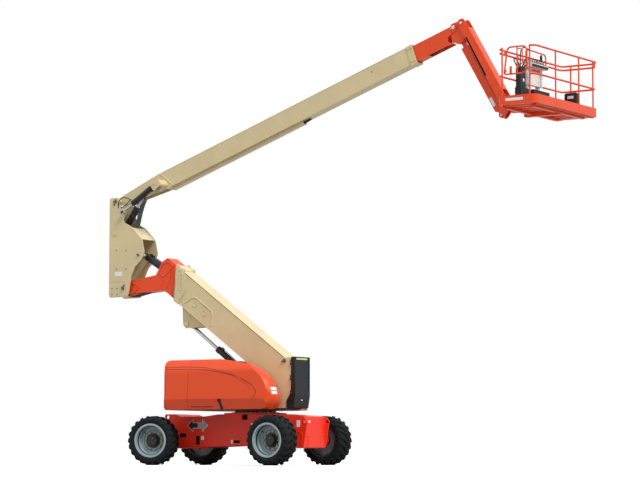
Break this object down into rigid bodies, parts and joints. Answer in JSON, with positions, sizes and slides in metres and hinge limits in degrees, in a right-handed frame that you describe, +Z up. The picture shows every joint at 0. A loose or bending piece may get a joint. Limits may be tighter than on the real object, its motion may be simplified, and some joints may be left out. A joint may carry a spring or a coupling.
{
  "type": "articulating boom lift",
  "caption": "Self-propelled articulating boom lift: turntable, telescoping tower and main booms, folding jib and railed platform on a steered four-wheel chassis.",
  "frame": {"origin": "ground point midway between the axles", "axes": "+X from the tail counterweight towards the work platform, +Y to the left of that, +Z up"},
  "size_m": [10.9378, 2.7228, 8.8538],
  "materials": {
    "black_paint": "satin",
    "chrome": "polished",
    "console_grey": "satin",
    "dark_plastic": "satin",
    "engine_iron": "matte",
    "hood_orange": "gloss",
    "iron_orange": "satin",
    "orange_paint": "satin",
    "red_paint": "satin",
    "rim_grey": "satin",
    "tan_paint": "satin",
    "tyre": "matte"
  },
  "bodies": {
    "chassis": {"chassis_frame": "red_paint", "swing_bearing": "black_paint", "fixed_axle": "black_paint", "steer_axle": "black_paint"},
    "knuckle_near": {"steer_knuckle_near": "black_paint"},
    "knuckle_far": {"steer_knuckle_far": "black_paint"},
    "tie_rod": {"tie_rod": "black_paint"},
    "turntable": {"turntable_deck": "black_paint", "boom_riser": "tan_paint", "counterweight": "iron_orange", "front_cover": "dark_plastic", "engine_block": "engine_iron", "hydraulic_tank": "black_paint"},
    "hood_near": {"hood_near": "hood_orange"},
    "hood_far": {"hood_far": "hood_orange"},
    "tower_base": {"tower_boom_base": "tan_paint"},
    "tower_fly": {"tower_boom_fly": "orange_paint"},
    "tower_lift_barrel": {"tower_lift_barrel": "black_paint"},
    "tower_lift_rod": {"tower_lift_rod": "chrome"},
    "upright": {"upright": "tan_paint"},
    "upright_level_barrel": {"upright_level_barrel": "black_paint"},
    "upright_level_rod": {"upright_level_rod": "chrome"},
    "main_base": {"main_boom_base": "tan_paint", "hose_tray": "tan_paint"},
    "main_fly": {"main_boom_fly": "orange_paint"},
    "main_lift_barrel": {"main_lift_barrel": "black_paint"},
    "main_lift_rod": {"main_lift_rod": "chrome"},
    "master_level_barrel": {"master_level_barrel": "black_paint"},
    "master_level_rod": {"master_level_rod": "chrome"},
    "jib_knuckle": {"jib_knuckle": "orange_paint"},
    "slave_level_barrel": {"slave_level_barrel": "black_paint"},
    "slave_level_rod": {"slave_level_rod": "chrome"},
    "jib_upper_arm": {"jib_upper_arm": "orange_paint"},
    "jib_lower_arm": {"jib_lower_arm": "orange_paint"},
    "platform_bracket": {"platform_bracket": "orange_paint"},
    "platform": {"platform_support": "orange_paint", "platform_floor": "orange_paint", "platform_rails": "orange_paint", "cable_column": "dark_plastic", "console_guard": "orange_paint", "control_console": "console_grey", "footswitch_box": "dark_plastic"},
    "gate": {"platform_gate": "orange_paint"},
    "wheel_steer_near": {"tyre_steer_near": "tyre", "rim_steer_near": "rim_grey", "hub_steer_near": "black_paint"},
    "wheel_steer_far": {"tyre_steer_far": "tyre", "rim_steer_far": "rim_grey", "hub_steer_far": "black_paint"},
    "wheel_fixed_near": {"tyre_fixed_near": "tyre", "rim_fixed_near": "rim_grey", "hub_fixed_near": "black_paint"},
    "wheel_fixed_far": {"tyre_fixed_far": "tyre", "rim_fixed_far": "rim_grey", "hub_fixed_far": "black_paint"}
  },
  "joints": [
    {"name": "steer_near", "type": "hinge", "parent": "chassis", "child": "knuckle_near", "pos_m": [-1.525, -0.715, 0.508], "axis": [0, 0, 1], "range_deg": [-47, 19]},
    {"name": "steer_far", "type": "hinge", "parent": "chassis", "child": "knuckle_far", "pos_m": [-1.525, 0.715, 0.508], "axis": [0, 0, 1], "range_deg": [-48, 20]},
    {"name": "tie_rod_turn", "type": "hinge", "parent": "knuckle_near", "child": "tie_rod", "pos_m": [-1.74817, -0.77064, 0.508], "axis": [0, 0, 1], "range_deg": [-20, 48]},
    {"name": "wheel_steer_near_spin", "type": "hinge", "parent": "knuckle_near", "child": "wheel_steer_near", "pos_m": [-1.45242, -1.00609, 0.508], "axis": [-0.2419, 0.9703, 0], "continuous": true},
    {"name": "wheel_fixed_near_spin", "type": "hinge", "parent": "chassis", "child": "wheel_fixed_near", "pos_m": [1.525, -1.015, 0.508], "axis": [0, 1, 0], "continuous": true},
    {"name": "wheel_steer_far_spin", "type": "hinge", "parent": "knuckle_far", "child": "wheel_steer_far", "pos_m": [-1.59758, 1.00609, 0.508], "axis": [-0.2419, 0.9703, 0], "continuous": true},
    {"name": "wheel_fixed_far_spin", "type": "hinge", "parent": "chassis", "child": "wheel_fixed_far", "pos_m": [1.525, 1.015, 0.508], "axis": [0, 1, 0], "continuous": true},
    {"name": "swing", "type": "hinge", "parent": "chassis", "child": "turntable", "pos_m": [0.42, 0, 1.13], "axis": [0, 0, 1], "continuous": true},
    {"name": "hood_near_lift", "type": "hinge", "parent": "turntable", "child": "hood_near", "pos_m": [0, -0.305, 2.175], "axis": [-1, 0, 0], "range_deg": [0, 60]},
    {"name": "hood_far_lift", "type": "hinge", "parent": "turntable", "child": "hood_far", "pos_m": [0, 0.305, 2.175], "axis": [1, 0, 0], "range_deg": [0, 60]},
    {"name": "tower_lift", "type": "hinge", "parent": "turntable", "child": "tower_base", "pos_m": [1.32, 0, 2.14], "axis": [0, 1, 0], "range_deg": [-33, 33]},
    {"name": "tower_extend", "type": "slide", "parent": "tower_base", "child": "tower_fly", "axis": [-0.809, 0, 0.5878], "range_m": [0, 2.1]},
    {"name": "tower_cylinder", "type": "hinge", "parent": "turntable", "child": "tower_lift_barrel", "pos_m": [0.85, 0, 1.37], "axis": [0, 1, 0], "range_deg": [-36, 36]},
    {"name": "tower_rod", "type": "slide", "parent": "tower_lift_barrel", "child": "tower_lift_rod", "axis": [-0.7962, 0, 0.6051], "range_m": [-0.55, 0.55]},
    {"name": "upright_level", "type": "hinge", "parent": "tower_fly", "child": "upright", "pos_m": [-2.86, 0, 3.78], "axis": [0, 1, 0], "range_deg": [-35, 35]},
    {"name": "upright_cylinder", "type": "hinge", "parent": "upright", "child": "upright_level_barrel", "pos_m": [-2.446, 0, 4.472], "axis": [0, 1, 0], "range_deg": [-36, 36]},
    {"name": "upright_rod", "type": "slide", "parent": "upright_level_barrel", "child": "upright_level_rod", "axis": [0.8539, 0, -0.5205], "range_m": [-0.5, 0.5]},
    {"name": "main_lift", "type": "hinge", "parent": "upright", "child": "main_base", "pos_m": [-3.063, 0, 5.667], "axis": [0, -1, 0], "range_deg": [-22, 55]},
    {"name": "main_cylinder", "type": "hinge", "parent": "upright", "child": "main_lift_barrel", "pos_m": [-3.09, 0, 4.95], "axis": [0, -1, 0], "range_deg": [-11, 25]},
    {"name": "main_rod", "type": "slide", "parent": "main_lift_barrel", "child": "main_lift_rod", "axis": [0.5753, 0, 0.818], "range_m": [-0.15, 0.32]},
    {"name": "master_cylinder", "type": "hinge", "parent": "main_base", "child": "master_level_barrel", "pos_m": [-1.943, -0.31, 5.969], "axis": [0, -1, 0], "range_deg": [-5, 2]},
    {"name": "master_rod", "type": "slide", "parent": "master_level_barrel", "child": "master_level_rod", "axis": [-0.8474, 0, -0.531], "range_m": [-0.16, 0.34]},
    {"name": "main_extend", "type": "slide", "parent": "main_base", "child": "main_fly", "axis": [0.9432, 0, 0.3322], "range_m": [0, 5.3]},
    {"name": "platform_level", "type": "hinge", "parent": "main_fly", "child": "jib_knuckle", "pos_m": [5.235, 0, 8.688], "axis": [0, -1, 0], "range_deg": [-56, 23]},
    {"name": "slave_cylinder", "type": "hinge", "parent": "main_fly", "child": "slave_level_barrel", "pos_m": [4.25, 0, 8.12], "axis": [0, -1, 0], "range_deg": [-3, 6]},
    {"name": "slave_rod", "type": "slide", "parent": "slave_level_barrel", "child": "slave_level_rod", "axis": [0.9564, 0, 0.2921], "range_m": [-0.25, 0.12]},
    {"name": "jib_lift", "type": "hinge", "parent": "jib_knuckle", "child": "jib_upper_arm", "pos_m": [5.43, 0, 8.76], "axis": [0, -1, 0], "range_deg": [0, 130]},
    {"name": "jib_parallel", "type": "hinge", "parent": "jib_knuckle", "child": "jib_lower_arm", "pos_m": [5.405, 0, 8.42], "axis": [0, -1, 0], "range_deg": [-1, 131]},
    {"name": "bracket_level", "type": "hinge", "parent": "jib_upper_arm", "child": "platform_bracket", "pos_m": [6.3375, 0, 7.18816], "axis": [0, -1, 0], "range_deg": [-131, 1]},
    {"name": "platform_rotate", "type": "hinge", "parent": "platform_bracket", "child": "platform", "pos_m": [6.56, 0, 7.05], "axis": [0, 0, 1], "range_deg": [-90, 90]},
    {"name": "gate_swing", "type": "hinge", "parent": "platform", "child": "gate", "pos_m": [7.51, -1.19, 7.6], "axis": [0, 0, -1], "range_deg": [0, 90]}
  ],
  "couplings": [
    {"joint": "steer_far", "follows": "steer_near", "ratio": 1},
    {"joint": "tie_rod_turn", "follows": "steer_near", "ratio": -1},
    {"joint": "tower_cylinder", "follows": "tower_lift", "ratio": 0.96},
    {"joint": "tower_rod", "follows": "tower_lift", "m_per_rad": 0.83},
    {"joint": "upright_level", "follows": "tower_lift", "ratio": -1},
    {"joint": "upright_cylinder", "follows": "tower_lift", "ratio": 0.99},
    {"joint": "upright_rod", "follows": "tower_lift", "m_per_rad": 0.76},
    {"joint": "main_cylinder", "follows": "main_lift", "ratio": 0.42},
    {"joint": "main_rod", "follows": "main_lift", "m_per_rad": 0.29},
    {"joint": "master_cylinder", "follows": "main_lift", "ratio": -0.06},
    {"joint": "master_rod", "follows": "main_lift", "m_per_rad": 0.323},
    {"joint": "platform_level", "follows": "main_lift", "ratio": -1},
    {"joint": "slave_cylinder", "follows": "main_lift", "ratio": 0.09},
    {"joint": "slave_rod", "follows": "main_lift", "m_per_rad": -0.2},
    {"joint": "jib_parallel", "follows": "jib_lift", "ratio": 1},
    {"joint": "bracket_level", "follows": "jib_lift", "ratio": -1}
  ]
}
